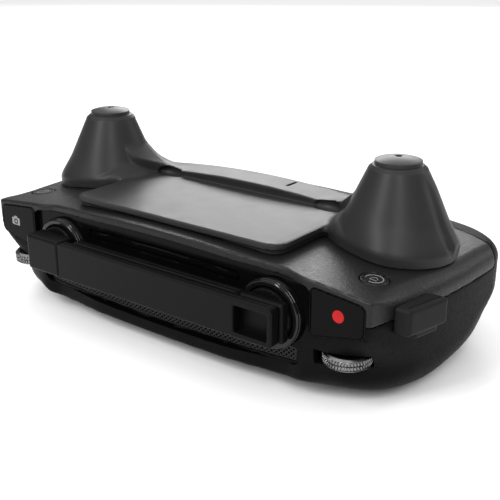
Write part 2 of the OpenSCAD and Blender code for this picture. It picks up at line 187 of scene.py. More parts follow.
def case(x, y, z, inset=0.0):
    """The whole closed case, or its inside when set in."""
    ax = np.abs(x)
    # in plan: the bulging ends, and the front, which steps in over the hinge rings
    side = np.hypot(ax + SIDE_R - HALF_W, y - SIDE_Y) - SIDE_R + inset
    lip = FRONT + 0.2 + 1.4 * smooth_step(22, 41, ax) * (1 - smooth_step(41.5, 48, ax))
    corner_r = 0.9 + 19.5 * (1 - smooth_step(9, 25, z))
    plan = both_of(side, lip - y + inset, corner_r)
    # from below: the rise to the front, the heel's quarter ellipse and the back
    rise = np.clip((FLOOR_Y - y) / (FLOOR_Y - FRONT), 0, 1.2)
    sill = front_sill(x)
    under = (sill * rise**2 - z) / np.sqrt(1 + (2 * sill * rise / 33) ** 2) + inset
    heel_d = np.array([BACK - HEEL_Y, HEEL_H])
    hy, hz = (y - HEEL_Y) / heel_d[0], (z - HEEL_H) / heel_d[1]
    k0, k1 = np.hypot(hy, hz), np.hypot(hy / heel_d[0], hz / heel_d[1])
    heel = k0 * (k0 - 1) / np.maximum(k1, 1e-6) + inset
    back = y - BACK + inset
    rear = np.where(z < HEEL_H, heel, back)
    low = np.where(y > HEEL_Y, rear, under)
    round_r = 0.9 + 4 * smooth_step(44, 54, ax) + 4.1 * smooth_step(-30, -14, y)
    round_r = round_r + 4 * smooth_step(-14, 14, y)
    round_r = round_r + (CORNER_R - 13) * smooth_step(4, 22, y) * smooth_step(0, 15, z)
    ends = both_of(plan, low, np.maximum(round_r - inset, 0.5))
    # the crowned top face and its fall to the back
    drop = np.maximum(y - BROW_Y, 0)
    top_z = crown(x) - drop**2 / (2 * BROW_R)
    slope = np.sqrt(1 + (x / CROWN_R) ** 2 + (drop / BROW_R) ** 2)
    behind = smooth_step(-34, -27, y)
    edge_r = 0.7 + 0.8 * behind + 0.9 * smooth_step(56, 66, ax) * behind
    edge_r = edge_r + 2 * smooth_step(-34, -20, y) - 0.8 * smooth_step(14, 26, y)
    return both_of(ends, (z - top_z) / slope + inset, edge_r)


def recess_floor(x):
    """Height of the lower edge of the front recess at x."""
    return 7.4 + 3.6 * (x / SILL_X) ** 2


def recess(x, z, grow=0.0):
    """Outline of the front recess, as a field in X and Z."""
    ax = np.abs(x)
    run, rise = 2.7, 7.8  # the lower part of each end slants inwards
    slant = ((ax - RECESS_X) * rise - (z - 18.8) * run) / math.hypot(rise, run)
    wide = both_of(ax - RECESS_X, slant, 1.0)
    tall = np.maximum(z - (crown(x) - 1.8), recess_floor(x) - z)
    return both_of(wide, tall, 1.6) - grow


def panel(x, z, grow=0.0):
    """Outline of a shoulder button, from the recess to the corner, its lower edge slanting."""
    ax = np.abs(x)
    low, high = PANEL[0][0] - 1.0 - grow, PANEL[1][0] - 0.2 + grow
    top = crown(x) - 1.55 + 0.5 * grow
    foot = PANEL[0][2] - 0.9 - grow + (ax - low) * 0.2
    tall = np.maximum(z - top, foot - z)
    return both_of(span(ax, low, high), tall, 1.3 + grow)


def seam(x, y, z):
    """Where the shells part, positive in the upper one: level at the ends, upright behind."""
    curve = 0.0235  # the upright part runs forward towards the ends
    bend = np.maximum(np.abs(x) - 56, 0)
    behind = (y - 25.6 + curve * bend**2) / np.sqrt(1 + (2 * curve * bend) ** 2)
    return -both_of(SPLIT + 0.5 - z, behind, 1.2)


def clamp_line(x, y, z):
    """A slanting groove down the end of the case, in front of the clamp arm's root."""
    lean, half_width, depth = 0.49, 0.16, 0.45
    plane = np.abs(y - 16.9 - lean * (z - 16.8)) / 1.11 - half_width
    groove = np.maximum(plane, -case(x, y, z, depth))
    return np.maximum(groove, np.maximum(60 - np.abs(x), z - SPLIT))


def clamp_space(x, y, z, grow):
    """The room for both clamp arms: a round hub each, and a beam between them."""
    hub = np.hypot(np.abs(x) - CLAMP[0], y - CLAMP[1]) - CLAMP_HUB_R
    beam = np.maximum(CLAMP[1] - y, np.abs(x) - CLAMP[0])
    return both_of(np.minimum(hub, beam) - grow, z - CLAMP_TOP - grow, 0.3)


def knurl_field(x, y, z, centre, radius, low, high, teeth):
    """A dial with a smooth bevelled rim at each face and two rows of pointed teeth between."""
    rho = np.hypot(x - centre[0], y - centre[1])
    turn = np.arctan2(y - centre[1], x - centre[0]) * teeth / (2 * np.pi)
    row = np.abs(z - (low + high) / 2) / (high - low) * 2  # 0 in the middle, 1 at a face
    ridge = np.abs((turn % 1) * 2 - 1)
    rise = ((z - low) / (high - low) - 0.18) / 0.32 % 1  # from a tooth's foot to its head
    tooth = np.clip((rise - ridge + 0.15) * 2, 0, 1) * np.clip((1 - rise) * 6, 0, 1)
    skin = radius - 0.5 + 0.42 * tooth
    skin = np.where(row > 0.64, radius - 0.04 - 2.0 * (row - 0.64), skin)
    return both_of((rho - skin) * 0.8, span(z, low, high), 0.2)


# -------------------- meshing
UNIT = np.eye(3, dtype=int)
BLOCK = 8  # cells along a block's side
PART = 250000  # points worked on at a time


def in_parts(field, points):
    values = [field(*points[i:i + PART].T) for i in range(0, len(points), PART)]
    return np.concatenate(values) if values else np.zeros(0)


def crossed_edges(field, low, counts, cell):
    """Grid edges that the surface crosses, found in the blocks near it."""
    blocks = np.stack(np.meshgrid(*map(np.arange, counts), indexing="ij"), -1)
    corner = blocks.reshape(-1, 3) * BLOCK
    reach = BLOCK * cell * 0.95
    corner = corner[np.abs(in_parts(field, low + (corner + BLOCK / 2) * cell)) < reach]
    steps = np.arange(BLOCK + 1)
    local = np.stack(np.meshgrid(steps, steps, steps, indexing="ij"), -1)
    points = low + (corner[:, None, None, None] + local) * cell
    values = in_parts(field, points.reshape(-1, 3)).reshape(points.shape[:-1])
    own = values[:, :BLOCK, :BLOCK, :BLOCK]
    found = []
    for axis in range(3):
        ahead = [slice(0, BLOCK)] * 3
        ahead[axis] = slice(1, BLOCK + 1)
        other = values[(slice(None), *ahead)]
        at = np.nonzero((own < 0) != (other < 0))
        first, second = own[at], other[at]
        start = corner[at[0]] + np.stack(at[1:], -1)
        found.append((start, np.full(len(start), axis), first < 0, first / (first - second)))
    return [np.concatenate(part) for part in zip(*found)]


def contour(field, low, high, cell):
    """Corners and four-sided faces of the zero surface of a field, by dual contouring."""
    cell = cell * FINE
    low = np.asarray(low, float) - 1.37 * cell  # an odd offset: no flat face lies on the grid
    counts = np.ceil((np.asarray(high, float) + 1.5 * cell - low) / (cell * BLOCK)).astype(int)
    # where the grid's edges cross the surface, and its normal there
    start, axis, inward, along = crossed_edges(field, low, counts, cell)
    point = low + (start + along[:, None] * UNIT[axis]) * cell
    eps = 0.02 * cell
    normal = np.stack([in_parts(field, point + step) - in_parts(field, point - step)
                       for step in eps * UNIT], -1)
    normal /= np.maximum(np.linalg.norm(normal, axis=1), 1e-12)[:, None]
    slope = np.take_along_axis(normal, axis[:, None], 1)[:, 0]
    steep = np.abs(slope) > 0.3
    shift = np.where(steep, -in_parts(field, point) / np.where(steep, slope, 1), 0)
    point += np.clip(shift, -0.3 * cell, 0.3 * cell)[:, None] * UNIT[axis]
    # each crossed edge gives a face between the four cells round it
    ring = [start - u * UNIT[(axis + 1) % 3] - v * UNIT[(axis + 2) % 3]
            for u, v in ((0, 0), (1, 0), (1, 1), (0, 1))]
    size = counts * BLOCK + 3
    ring = np.stack(ring, 1) + 1
    key = (ring[..., 0] * size[1] + ring[..., 1]) * size[2] + ring[..., 2]
    cells, faces = np.unique(key, return_inverse=True)
    faces = faces.reshape(-1, 4)
    flat, count = faces.ravel(), len(cells)

    def total(weight):
        return np.bincount(flat, np.repeat(weight, 4), count)

    # each cell's corner goes where its surface planes meet, or stays at their mean
    shares = total(np.ones(len(point)))[:, None]
    mean = np.stack([total(point[:, a]) for a in range(3)], -1) / shares
    offset = (normal * point).sum(1)
    pull = np.stack([total(normal[:, a] * offset) for a in range(3)], -1)
    square = np.empty((count, 3, 3))
    for a in range(3):
        for b in range(a, 3):
            square[:, a, b] = square[:, b, a] = total(normal[:, a] * normal[:, b])
    pull -= np.einsum("nij,nj->ni", square, mean)
    size_of, way = np.linalg.eigh(square)
    firm = size_of > 0.08 * size_of[:, 2:3]
    inverse = np.where(firm, 1 / np.where(firm, size_of, 1), 0)
    place = mean + np.einsum("nij,nj,nkj,nk->ni", way, inverse, way, pull)
    index = [cells // (size[1] * size[2]), cells // size[2] % size[1], cells % size[2]]
    base = low + (np.stack(index, -1) - 1) * cell
    place = np.clip(place, base, base + cell)
    faces[~inward] = faces[~inward][:, ::-1]
    return place, faces


def lathe(outline, turns):
    """A closed outline of (radius, height) points turned about Z."""
    points, faces, rings = [], [], []
    for r, h in outline:
        if r < 1e-6:
            rings.append([len(points)] * turns)
            points.append((0, 0, h))
            continue
        rings.append(list(range(len(points), len(points) + turns)))
        points += [(r * math.cos(a), r * math.sin(a), h)
                   for a in (2 * math.pi * i / turns for i in range(turns))]
    for lower, upper in zip(rings, rings[1:] + rings[:1]):
        for i in range(turns):
            j = (i + 1) % turns
            face = [lower[i], lower[j], upper[j], upper[i]]
            face = [v for n, v in enumerate(face) if v != face[n - 1]]
            if len(face) > 2:
                faces.append(face)
    return np.array(points, float), faces


def turned(points, centre, axis="Z"):
    """Lathed points moved to a centre, their axis laid along Z or -Y."""
    x, y, z = points.T
    if axis == "-Y":
        y, z = -z, y
    return np.stack([x, y, z], -1) + np.asarray(centre, float)


def bead(r, h, radius, start, end, steps=6):
    """Points of a round bead in a lathe outline, between two angles."""
    angles = [math.radians(start + (end - start) * i / steps) for i in range(steps + 1)]
    return [(r + radius * math.cos(a), h + radius * math.sin(a)) for a in angles]


def put(name, data):
    """A new object in the scene."""
    made = bpy.data.objects.new(name, data)
    bpy.context.scene.collection.objects.link(made)
    return made


def make(name, points, faces, material, body, slot, stands_for=(), crease=40.0):
    """A piece from points in millimetres, riding on a CAD body."""
    mesh = bpy.data.meshes.new(name)
    mesh.from_pydata((np.asarray(points) * MM).tolist(), [], [list(map(int, f)) for f in faces])
    mesh.validate()
    mesh.update()
    mesh.shade_smooth()
    mesh.set_sharp_from_angle(angle=math.radians(crease))
    piece = put(name, mesh)
    mesh.materials.append(material)
    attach(piece, body)
    if stands_for:
        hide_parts(*stands_for)


def carve(name, field, low, high, material, body, slot, stands_for=(), crease=40.0):
    points, faces = contour(field, low, high, CELL[name])
    make(name, points, faces, material, body, slot, stands_for, crease)


def mirrored(points, faces, side):
    """A mesh as it is for the right end, or its mirror image for the left."""
    if side > 0:
        return points, faces
    return points * (-1, 1, 1), [list(f)[::-1] for f in faces]


# -------------------- materials
LEVELS = (0.3, 0.7)  # the part of a noise's range that is used


class Shader:
    """A small builder of node materials in object space."""

    def __init__(self, name, color, rough, metallic=0.0, specular=0.5):
        self.material = bpy.data.materials.new(name)
        self.material.use_nodes = True
        self.nodes = self.material.node_tree.nodes
        self.links = self.material.node_tree.links
        self.main = self.nodes["Principled BSDF"]
        self.color = color
        self.main.inputs["Base Color"].default_value = (*color, 1)
        self.main.inputs["Roughness"].default_value = rough
        self.main.inputs["Metallic"].default_value = metallic
        self.main.inputs["Specular IOR Level"].default_value = specular
        self.place = self.nodes.new("ShaderNodeTexCoord").outputs["Object"]
        self.height = None

    def node(self, kind, **inputs):
        """A new node, its sockets set by name with _ for a space."""
        made = self.nodes.new(kind)
        for key, value in inputs.items():
            made.inputs[key.replace("_", " ")].default_value = value
        return made

    def noise(self, size_mm, detail):
        scale = 1 / (size_mm * MM)
        made = self.node("ShaderNodeTexNoise", Scale=scale, Detail=detail, Roughness=0.55)
        self.links.new(self.place, made.inputs["Vector"])
        return made.outputs["Fac"]

    def cells(self, size_mm):
        """Rounded cells of a leathery grain, slightly shaken out of shape."""
        made = self.nodes.new("ShaderNodeTexVoronoi")
        made.feature = "SMOOTH_F1"
        made.inputs["Scale"].default_value = 1 / (size_mm * MM)
        made.inputs["Smoothness"].default_value = 0.4
        warp = self.nodes.new("ShaderNodeMixRGB")
        warp.blend_type = "ADD"
        warp.inputs["Fac"].default_value = 0.0006
        shake = self.node("ShaderNodeTexNoise", Scale=1 / (size_mm * 1.7 * MM), Detail=2.0)
        self.links.new(self.place, shake.inputs["Vector"])
        self.links.new(self.place, warp.inputs["Color1"])
        self.links.new(shake.outputs["Color"], warp.inputs["Color2"])
        self.links.new(warp.outputs["Color"], made.inputs["Vector"])
        return made.outputs["Distance"]

    def tint(self, value, dark, light):
        """Colour variation between two multiples of the base colour."""
        ramp = self.nodes.new("ShaderNodeValToRGB")
        for stop, level, factor in zip(ramp.color_ramp.elements, LEVELS, (dark, light)):
            stop.position = level
            stop.color = (*[c * factor for c in self.color], 1)
        self.links.new(value, ramp.inputs["Fac"])
        self.links.new(ramp.outputs["Color"], self.main.inputs["Base Color"])

    def roughness(self, value, low, high):
        made = self.node("ShaderNodeMapRange", From_Min=LEVELS[0], From_Max=LEVELS[1],
                         To_Min=low, To_Max=high)
        self.links.new(value, made.inputs["Value"])
        self.links.new(made.outputs["Result"], self.main.inputs["Roughness"])

    def bump(self, value, depth_mm, strength, invert=False):
        """Relief on top of what is there already."""
        made = self.nodes.new("ShaderNodeBump")
        made.invert = invert
        made.inputs["Strength"].default_value = strength
        made.inputs["Distance"].default_value = depth_mm * MM
        self.links.new(value, made.inputs["Height"])
        if self.height is not None:
            self.links.new(self.height, made.inputs["Normal"])
        self.height = made.outputs["Normal"]
        self.links.new(self.height, self.main.inputs["Normal"])


def leathery(name, color, rough, cell_mm, depth_mm, specular):
    """Moulded plastic with a leathery grain."""
    s = Shader(name, color, rough, specular=specular)
    s.bump(s.cells(cell_mm), depth_mm, 0.8, invert=True)
    s.bump(s.noise(cell_mm * 0.45, 5), depth_mm * 0.6, 0.6)
    s.tint(s.noise(9, 3), 0.88, 1.14)
    s.roughness(s.noise(cell_mm * 1.4, 3), rough - 0.05, rough + 0.07)
    return s.material


def satin(name, color, rough, grain_mm=0.35, depth_mm=0.012, specular=0.25):
    """Smooth moulded plastic with a spark-eroded skin."""
    s = Shader(name, color, rough, specular=specular)
    s.bump(s.noise(grain_mm, 3), depth_mm, 0.5)
    s.bump(s.noise(14, 2), 0.008, 0.2)
    s.tint(s.noise(12, 3), 0.94, 1.06)
    s.roughness(s.noise(6, 4), rough - 0.015, rough + 0.02)
    return s.material


def gloss(name, color, rough, specular=0.2):
    """Polished black panel with faint orange peel and dust-fine haze."""
    s = Shader(name, color, rough, specular=specular)
    s.bump(s.noise(3.5, 2), 0.02, 0.12)
    s.roughness(s.noise(5, 5), rough - 0.02, rough + 0.05)
    s.tint(s.noise(8, 3), 0.9, 1.1)
    return s.material


def metal(name, color, rough, stretch=(1, 1, 1)):
    """Turned or plated metal with fine tool marks."""
    s = Shader(name, color, rough, metallic=1.0)
    mapping = s.nodes.new("ShaderNodeMapping")
    mapping.inputs["Scale"].default_value = stretch
    s.links.new(s.place, mapping.inputs["Vector"])
    s.place = mapping.outputs["Vector"]
    s.bump(s.noise(0.25, 3), 0.006, 0.4)
    s.roughness(s.noise(2.5, 4), rough * 0.8, rough * 1.25)
    s.tint(s.noise(4, 3), 0.85, 1.1)
    return s.material


def paint(name, color):
    """Printed or inlaid colour."""
    s = Shader(name, color, 0.5, specular=0.1)
    s.bump(s.noise(0.3, 2), 0.008, 0.4)
    s.tint(s.noise(1.5, 3), 0.94, 1.05)
    return s.material


# Colours are linear
CASE_MAT = leathery("case_plastic", (0.0065, 0.0065, 0.0068), rough=0.42, cell_mm=0.6,
                    depth_mm=0.06, specular=0.24)
# A darker copy of the case plastic. Its darker colour is painted shade for the lower shell and the
# clamp arms, standing in for the dark surroundings below the object.
LOWER_SHADE_MAT = leathery("lower_case_plastic_painted_shade", (0.0028, 0.0028, 0.003), rough=0.48, cell_mm=0.6,
                     depth_mm=0.05, specular=0.05)
GUARD_MAT = satin("guard_plastic", (0.018, 0.018, 0.0183), rough=0.41, grain_mm=0.32,
                  depth_mm=0.03, specular=0.17)
AERIAL_MAT = satin("aerial_plastic", (0.0026, 0.0026, 0.0028), rough=0.42, grain_mm=0.28,
                   depth_mm=0.01, specular=0.09)
GLOSS_MAT = gloss("gloss_panel", (0.002, 0.002, 0.0021), rough=0.12, specular=0.06)
BUTTON_MAT = satin("button_plastic", (0.009, 0.009, 0.0093), rough=0.42)
RUBBER_MAT = satin("cover_rubber", (0.008, 0.008, 0.0082), rough=0.5, grain_mm=0.22,
                   depth_mm=0.02, specular=0.1)
GRILLE_MAT = satin("grille_mesh", (0.006, 0.006, 0.0062), rough=0.4)
CHROME_MAT = gloss("black_chrome", (0.004, 0.004, 0.0045), rough=0.06, specular=0.32)
DIAL_MAT = metal("dial_metal", (0.2, 0.2, 0.205), rough=0.22)
KNOB_MAT = metal("stick_aluminium", (0.42, 0.42, 0.43), rough=0.28, stretch=(1, 1, 8))
STEEL_MAT = metal("steel", (0.5, 0.5, 0.51), rough=0.3)
GLASS_MAT = gloss("display_glass", (0.006, 0.006, 0.008), rough=0.05)
BOARD_MAT = satin("board", (0.01, 0.06, 0.028), rough=0.4)
BATTERY_MAT = satin("battery_wrap", (0.03, 0.045, 0.09), rough=0.35)
FRAME_MAT = satin("gimbal_frame", (0.04, 0.04, 0.042), rough=0.5)
RED_MAT = paint("record_red", (0.38, 0.012, 0.014))
ICON_MAT = paint("icon_grey", (0.2, 0.2, 0.205))


# -------------------- case
def port_hole(x, y, z):
    middle = middle_of(PORT)
    tall = span(z, middle[2] - 1.8, middle[2] + 1.8)
    hole = both_of(span(y, middle[1] - 4.3, middle[1] + 4.3), tall, 0.8)
    return np.maximum(hole, 55 - x)


def openings(x, y, z):
    """Everything cut through both shells."""
    ax = np.abs(x)
    bay = np.maximum(recess(x, z), y - (FRONT + RECESS_DEPTH))
    buttons = np.maximum(panel(x, z, TRIM), y - (FRONT + 6))
    # round the dial, and open to the front
    middle = middle_of(DIAL)
    reach = (DIAL[1][0] - DIAL[0][0]) / 2 + 0.3
    dial = np.hypot(ax - middle[0], y - middle[1]) - reach
    dial = np.minimum(dial, np.maximum(np.abs(ax - middle[0]) - reach, y - middle[1]))
    dial = both_of(dial, span(z, DIAL[0][2] - 0.25, DIAL[1][2] + 0.25), 0.4)
    cut = np.minimum(np.minimum(bay, buttons), dial)
    return np.minimum(cut, port_hole(x, y, z))


def upper_case(x, y, z):
    ax = np.abs(x)
    outer = case(x, y, z)
    shell = np.maximum(outer, -case(x, y, z, WALL))
    shell = both_of(shell, -seam(x, y, z) + SEAM_GAP, 0.35)
    shell = np.maximum(shell, -openings(x, y, z))
    for centre, radius, edge in ((middle_of(HOME), 3.75, 0.25), (STICK, WELL_R, 0.8)):
        shell = both_of(shell, radius - np.hypot(ax - centre[0], y - centre[1]), edge)
    low, high = LENS[0] - 0.2, LENS[1] + 0.2
    window = both_of(span(x, low[0], high[0]), span(y, low[1], high[1]), 1.2)
    shell = both_of(shell, -np.maximum(window, 29 - z), 0.4)
    middle = middle_of(PAUSE)
    shell = both_of(shell, BUTTON_HOLE_R - np.hypot(ax - middle[0], y - middle[1]), 0.25)
    middle = middle_of(SWITCH)
    tall = span(z, middle[2] - 1.9, middle[2] + 1.9)
    slot = both_of(span(y, middle[1] - 5, middle[1] + 5), tall, 0.9)
    return both_of(shell, -np.maximum(slot, x + 60), 0.3)


def lower_case(x, y, z):
    ax = np.abs(x)
    outer = case(x, y, z)
    outer = both_of(outer, seam(x, y, z) + SEAM_GAP, 0.35)
    outer = both_of(outer, -clamp_space(x, y, z, CLAMP_GAP), 0.4)
    inner = np.maximum(case(x, y, z, WALL), -clamp_space(x, y, z, CLAMP_GAP + WALL))
    shell = np.maximum(outer, -inner)
    shell = np.maximum(shell, -openings(x, y, z))
    shell = np.maximum(shell, -clamp_line(x, y, z))
    middle = middle_of(UNDER)
    hole = np.maximum(np.hypot(ax - middle[0], y - middle[1]) - BUTTON_HOLE_R, z - 8)
    shell = both_of(shell, -hole, 0.3)
    for screw_x, screw_y in SCREWS:
        # a post inside, the recess of the screw's head and the screw's hole
        boss = np.hypot(ax - screw_x, y - screw_y)
        shell = np.minimum(shell, np.maximum(np.maximum(boss - 3.2, z - SPLIT), case(x, y, z, 0.8)))
        shell = both_of(shell, -np.maximum(boss - 2.7, z - 3.4), 0.3)
        shell = np.maximum(shell, 1.4 - boss)
    return shell


def build_case():
    low = (-HALF_W - 0.5, FRONT - 0.8, -0.3)
    high = (HALF_W + 0.5, BACK + 0.3, CASE_H + 0.3)
    carve("upper_case", upper_case, (low[0], low[1], 18), high, CASE_MAT, "chassis",
          "case_plastic", ["upper_shell"])
    carve("lower_case", lower_case, low, (high[0], high[1], CASE_H), LOWER_SHADE_MAT, "chassis",
          "case_plastic", ["lower_shell"])


def build_bezel():
    """The gloss panel in the recess: ring seats, a long slot and room for the grille."""
    face = FRONT + 1.5

    def bezel(x, y, z):
        plate = both_of(recess(x, z, -0.12), span(y, face, face + 1.7), 0.2)
        ring = np.hypot(np.abs(x) - AERIAL[0], z - AERIAL[2])
        boss = np.maximum(ring - 4.5, span(y, face + 1.2, face + 6.3))
        body = np.minimum(plate, boss)
        seat = ring - RING[1][2] + AERIAL[2] - 0.1
        body = np.maximum(body, -np.maximum(seat, y - (face + 0.9)))
        body = np.maximum(body, HINGE_HOLE_R - ring)
        strip_z = 28.4 - x * x / (2 * CROWN_R)
        long = np.maximum(np.abs(x) - 26, 0)
        slot = np.hypot(long, z - strip_z)
        body = both_of(body, -np.maximum(slot - 1.5, y - (face + 0.9)), 0.25)
        body = np.minimum(body, both_of(slot - 0.85, span(y, face + 0.15, face + 1.2), 0.3))
        sill = recess_floor(x)
        mesh_cut = both_of(span(z, sill + 0.8, sill + 4.6), np.abs(x) - 45.2, 0.8)
        return both_of(body, -np.maximum(mesh_cut, y - (face + 0.95)), 0.15)

    carve("bezel", bezel, (-50, FRONT + 0.5, 6), (50, FRONT + 8, 34), GLOSS_MAT, "chassis",
          "gloss_panel", ["front_bezel"])


def build_grille():
    """A strip of crossed wires that follows the recess's lower edge."""
    face = FRONT + 1.75
    pitch, wire = 1.5, 0.2

    def grille(x, y, z):
        sill = recess_floor(x)
        plate = both_of(both_of(span(z, sill + 0.9, sill + 4.5), np.abs(x) - 45.1, 0.7),
                        span(y, face, face + 0.5), 0.1)
        u, v = (x + (z - sill) * 1.2) / pitch, (x - (z - sill) * 1.2) / pitch
        gap = np.maximum(np.abs(u % 1 - 0.5), np.abs(v % 1 - 0.5)) - 0.5 + wire / pitch * 1.3
        inside = both_of(span(z, sill + 1.2, sill + 4.2), np.abs(x) - 44.8, 0.5)
        return np.maximum(plate, -np.maximum(gap * pitch * 0.62, inside))

    carve("grille", grille, (-46, face - 0.3, 6), (46, face + 0.8, 13), GRILLE_MAT, "chassis",
          "grille_mesh", ["front_grille"], 30)


# -------------------- shoulder buttons and dials
def build_shoulders():
    """The button at each front corner, its surround on the case, and what is inlaid in it."""
    low = (PANEL[0][0] - 2, FRONT - 1, PANEL[0][2] - 2)
    high = (PANEL[1][0] + 2, FRONT + 4, PANEL[1][2] + 2)

    def pad(x, y, z):
        edge = panel(x, z, -0.02)
        body = both_of(edge, span(y, FRONT - 0.05, FRONT + 1.6), 0.2)
        middle = middle_of(PANEL)
        stem = np.hypot(np.abs(x) - middle[0], z - middle[2]) - 1.5
        return np.minimum(body, np.maximum(stem, span(y, FRONT + 1.2, FRONT + 3.3)))

    points, faces = contour(pad, low, high, CELL["shoulder"])
    for side, name in ((1, "record_button"), (-1, "shutter_button")):
        make(f"{name}_pad", *mirrored(points, faces, side), GLOSS_MAT, name, "gloss_panel",
             [name], 30)

    def surround(x, y, z):
        ring = both_of(panel(x, z, TRIM - 0.03), -panel(x, z, 0.1), 0.12)
        return both_of(ring, span(y, FRONT + 0.02, FRONT + 2.2), 0.15)

    points, faces = contour(surround, low, high, CELL["shoulder"])
    for side, word in ENDS:
        make(f"{word}_surround", *mirrored(points, faces, side), GLOSS_MAT, "chassis",
             "gloss_panel")
    spot = [(0, 0.12), (1.45, 0.12), *bead(1.5, 0.04, 0.08, 90, 0, 3), (1.58, -0.1), (0, -0.1)]
    points, faces = lathe(spot[::-1], 48)
    dot, icon = (57.7, FRONT - 0.02, 25.9), (-58.4, FRONT - 0.02, 25.6)
    make("record_dot", turned(points, dot, "-Y"), faces, RED_MAT, "record_button", "gloss_panel")
    build_camera_icon(icon)


def build_camera_icon(centre):
    """A plain camera outline: body, hump and lens ring, as one thin inlay."""
    def icon(x, y, z):
        u, v = x - centre[0], z - centre[2]
        body = both_of(np.abs(u) - 1.75, np.abs(v) - 1.15, 0.35)
        hump = both_of(np.abs(u) - 0.7, span(v, 0.8, 1.65), 0.2)
        lens = np.hypot(u, v)
        shape = np.maximum(np.minimum(body, hump), 0.85 - lens)
        shape = np.minimum(shape, lens - 0.45)
        return np.maximum(shape, span(y, centre[1] - 0.06, centre[1] + 0.06))

    low, high = np.subtract(centre, (2.3, 0.2, 1.7)), np.add(centre, (2.3, 0.2, 2.1))
    carve("camera_icon", icon, low, high, ICON_MAT, "shutter_button", "gloss_panel")


def build_dials():
    middle = middle_of(DIAL)
    low, high = DIAL[0][2], DIAL[1][2]
    radius = (DIAL[1][0] - DIAL[0][0]) / 2
    teeth, axle_r = 46, 1.06

    def dial(x, y, z):
        body = knurl_field(x, y, z, middle, radius, low, high, teeth)
        rho = np.hypot(x - middle[0], y - middle[1])
        return np.maximum(body, axle_r - rho)

    points, faces = contour(dial, *DIAL, CELL["dial"])
    for side, name in ((1, "gimbal_dial"), (-1, "settings_dial")):
        make(f"{name}_wheel", *mirrored(points, faces, side), DIAL_MAT, name, "dial_metal",
             [name], 25)


# -------------------- top buttons
def build_top_buttons():
    """Round caps, each with a fine groove and an inlaid icon."""
    middle = middle_of(HOME)

    def cap(x, y, z):
        rho = np.hypot(x - middle[0], y - middle[1])
        top = z - crown(x) - 0.02
        body = both_of(rho - 3.5, np.maximum(top, HOME[0][2] - z), 0.3)
        return both_of(body, -np.maximum(np.abs(rho - 2.95) - 0.12, crown(x) - 0.12 - z), 0.05)

    points, faces = contour(cap, HOME[0], HOME[1] + 0.4, CELL["top_button"])
    for side, name in ((1, "home_button"), (-1, "power_button")):
        make(f"{name}_cap", *mirrored(points, faces, side), CASE_MAT, name, "button_plastic",
             [name], 30)

    def inlaid(shape, x, z):
        return np.maximum(shape, span(z, crown(x) - 0.1, crown(x) + 0.07))

    def home_icon(x, y, z):
        u, v = x - middle[0], y - middle[1]
        rho = np.hypot(u, v)
        gap = both_of(np.abs(u + 1.2) - 0.9, v - 0.2, 0.1)
        ring = np.maximum(np.abs(rho - 2.15) - 0.13, -gap)
        roof = np.abs(np.maximum(np.abs(u) + v - 0.95, -v - 0.75)) - 0.12
        roof = np.maximum(roof, np.abs(u) - 1.0)
        return inlaid(np.minimum(ring, roof), x, z)

    def power_icon(x, y, z):
        u, v = x + middle[0], y - middle[1]
        rho = np.hypot(u, v)
        ring = np.maximum(np.abs(rho - 1.7) - 0.14, -np.maximum(np.abs(u) - 0.55, -v))
        bar = both_of(np.abs(u) - 0.14, span(v, 0.3, 2.1), 0.1)
        return inlaid(np.minimum(ring, bar), x, z)

    room = (2.6, 2.6, 0.5)
    for side, name, icon in ((1, "home_button", home_icon), (-1, "power_button", power_icon)):
        spot = np.array((side * middle[0], middle[1], crown(middle[0])))
        carve(f"{name}_icon", icon, spot - room, spot + room, ICON_MAT, name, "button_plastic")


# -------------------- aerials and their hinges
def build_aerials():
    def blade(low, high, window):
        def field(x, y, z):
            body = rounded_box(x, y, z, low, high, 0.55)
            ends = both_of(span(x, low[0], high[0]), span(z, low[2], high[2]), 1.5)
            body = np.maximum(body, ends)
            middle = (low[1] + high[1]) / 2
            line = np.hypot(y - middle, z - high[2]) - 0.22  # a groove along the top
            body = np.maximum(body, -line)
            if window:
                hole = both_of(span(x, 32.4, 42.4), span(z, AERIAL[2] - 3.9, AERIAL[2] + 3.3), 0.5)
                body = both_of(body, -hole, 0.45)
            return body
        return field

    for word, box, window in (("front", FRONT_BLADE, True), ("rear", REAR_BLADE, False)):
        carve(f"{word}_blade", blade(*box, window), *box, AERIAL_MAT, f"{word}_aerial",
              "aerial_plastic", [f"{word}_aerial_blade"], 35)

    def knuckle(face):
        low = (AERIAL[0] - 6.6, face, FRONT_BLADE[0][2])
        high = (AERIAL[0] + 6.6, REAR_BLADE[1][1], FRONT_BLADE[1][2])

        def field(x, y, z):
            block = rounded_box(x, y, z, low, high, 0.8)
            rho = np.hypot(x - AERIAL[0], z - AERIAL[2])
            hub = both_of(rho - 7.0, span(y, high[1] - 0.5, KNUCKLE[1][1]), 0.3)
            body = np.minimum(block, hub)
            return np.maximum(body, -np.maximum(rho - HINGE_HOLE_R, face + 1.4 - y))
        return field

    for side, word, face in ((-1, "front", FRONT_BLADE[0][1]), (1, "rear", REAR_BLADE[0][1])):
        low = (AERIAL[0] - 7.2, face - 0.2, AERIAL[2] - 7.2)
        high = (AERIAL[0] + 7.2, KNUCKLE[1][1] + 0.2, AERIAL[2] + 7.2)
        points, faces = contour(knuckle(face), low, high, CELL["knuckle"])
        make(f"{word}_knuckle", *mirrored(points, faces, side), AERIAL_MAT, f"{word}_aerial",
             "aerial_plastic", [f"{word}_aerial_knuckle"], 35)


